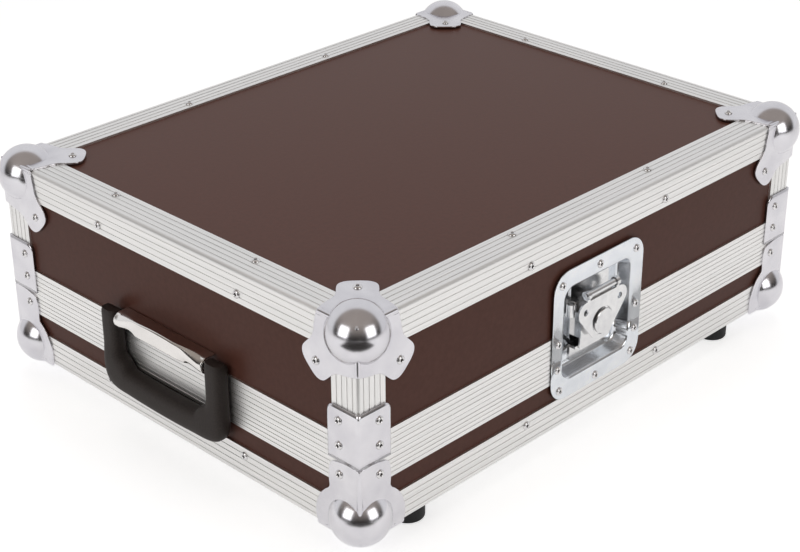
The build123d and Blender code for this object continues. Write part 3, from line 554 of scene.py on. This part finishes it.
# In the middle it bends over a small radius and falls as a flat, slightly leaning band.
lip = np.clip(curl / lip_end, 0, 1) * math.radians(lip_turn)
fall = np.clip((curl - lip_end) / (1 - lip_end), 0, 1)
band_x = np.where(share < web_end, web_back + (band_front - web_back) * on_web,
                  band_front - lip_round * np.sin(lip) + band_lean * fall)
band_z = np.where(share < web_end, sleeve, sleeve - lip_round * (1 - np.cos(lip)) - band_high * fall)
lift = arch * on_web * (top_lift + (low_lift - top_lift) * fall)
bracket = np.stack(np.broadcast_arrays(
    rod_x + (1 - flatten) * tube_x + flatten * (band_x - belly * arch * on_web),
    along_rod,
    rod_z + (1 - flatten) * tube_z + flatten * band_z + lift), axis=-1)
formed("handle_bracket_pressing", [bracket], mirror_nickel, "lid",
       ["handle_bracket"], closed=False, outward=(-1, 0, 0.6), wall=1.2)

# The grip is moulded rubber: a rounded section carried down one arm, along the bar and up
# the other arm. Its middle line turns two corners of 24 mm, and the bar is the thicker part.
arm_y, bar_z, grip_top, corner_round, end_reach = 70.0, 63.0, 128.4, 24.0, 7.5
grip_back, arm_half, bar_more, arm_depth, bar_depth_more = -292.25, 9.8, 2.1, 7.6, 1.0
bar_drop, drop_half, bar_blend, corner_fill = 2.6, 66.0, 30.0, 4.0
corner_power, section_power, tip_share, next_share = 4.5, 0.62, 0.90, 0.985
down = np.linspace(grip_top, bar_z + corner_round, 16)
sweep = np.linspace(np.pi, 1.5 * np.pi, 20)[1:-1]
flat_y = np.linspace(corner_round - arm_y, arm_y - corner_round, 25)
turn_y = corner_round - arm_y + corner_round * np.cos(sweep)
left_y = np.concatenate((np.full(len(down), -arm_y), turn_y))
left_z = np.concatenate((down, bar_z + corner_round + corner_round * np.sin(sweep)))
line_y = np.concatenate((left_y, flat_y, -left_y[::-1]))
line_z = np.concatenate((left_z, np.full(len(flat_y), bar_z), left_z[::-1]))
line_z = line_z - bar_drop * np.clip(1 - (line_y / drop_half) ** 2, 0, 1)
lead_y, lead_z = np.gradient(line_y), np.gradient(line_z)
length = np.hypot(lead_y, lead_z)
lead_y, lead_z = lead_y / length, lead_z / length
on_bar = np.clip(1 - (line_z - bar_z) / bar_blend, 0, 1)
half_width = arm_half + bar_more * on_bar * on_bar * (3 - 2 * on_bar)
half_depth = arm_depth + bar_depth_more * on_bar
ends = np.ones_like(line_y)
ends[[0, -1]], ends[[1, -2]] = tip_share, next_share
ring = np.linspace(0, 2 * np.pi, 40, endpoint=False)
soft_cos = np.sign(np.cos(ring)) * np.abs(np.cos(ring)) ** section_power
soft_sin = np.sign(np.sin(ring)) * np.abs(np.sin(ring)) ** section_power
# Round the corners the outer side follows a superellipse, and the inner side is filled in.
squarer = (np.abs(lead_y) ** corner_power + np.abs(lead_z) ** corner_power) ** (-1 / corner_power)
outer_width = (corner_round + half_width) * squarer - corner_round
inner_width = half_width + corner_fill * (2 * lead_y * lead_z) ** 2
wide = np.where(soft_cos > 0, (outer_width * ends)[:, None], (inner_width * ends)[:, None])
wide = wide * soft_cos
grip = np.stack(((grip_back - half_depth)[:, None] + (half_depth * ends)[:, None] * soft_sin,
                 line_y[:, None] + wide * lead_z[:, None],
                 line_z[:, None] - wide * lead_y[:, None]), axis=-1)
# Behind the rod the arm ends are rounded about it, so that they pass the wall as they swing.
past_x, past_z = grip[..., 0] - rod_x, grip[..., 2] - rod_z
spare = np.where((past_x > 0) & (past_z > 0), end_reach / np.hypot(past_x, past_z), 1.0)
grip[..., 0] = rod_x + past_x * np.minimum(spare, 1.0)
grip[..., 2] = rod_z + past_z * np.minimum(spare, 1.0)
caps = grip[[0, -1]].mean(axis=1, keepdims=True) + np.zeros((2, len(ring), 3))
grip = np.concatenate((caps[:1], grip, caps[1:]))
formed("handle_grip_moulding", [grip], grip_rubber, "handle", ["handle_grip"])

# The lining is dark grey open-cell foam, cut in slabs and glued to the plywood: one on the
# floor, one under the top, and strips round the walls.
foam = coated("lining_foam", (0.020, 0.020, 0.022), (0.055, 0.055, 0.058), 0.0, 0.95, 1400,
              bump=0.80, specular=0.1)
dress(foam, "base_foam_floor", "base_foam_walls", "lid_foam_top", "lid_foam_walls")
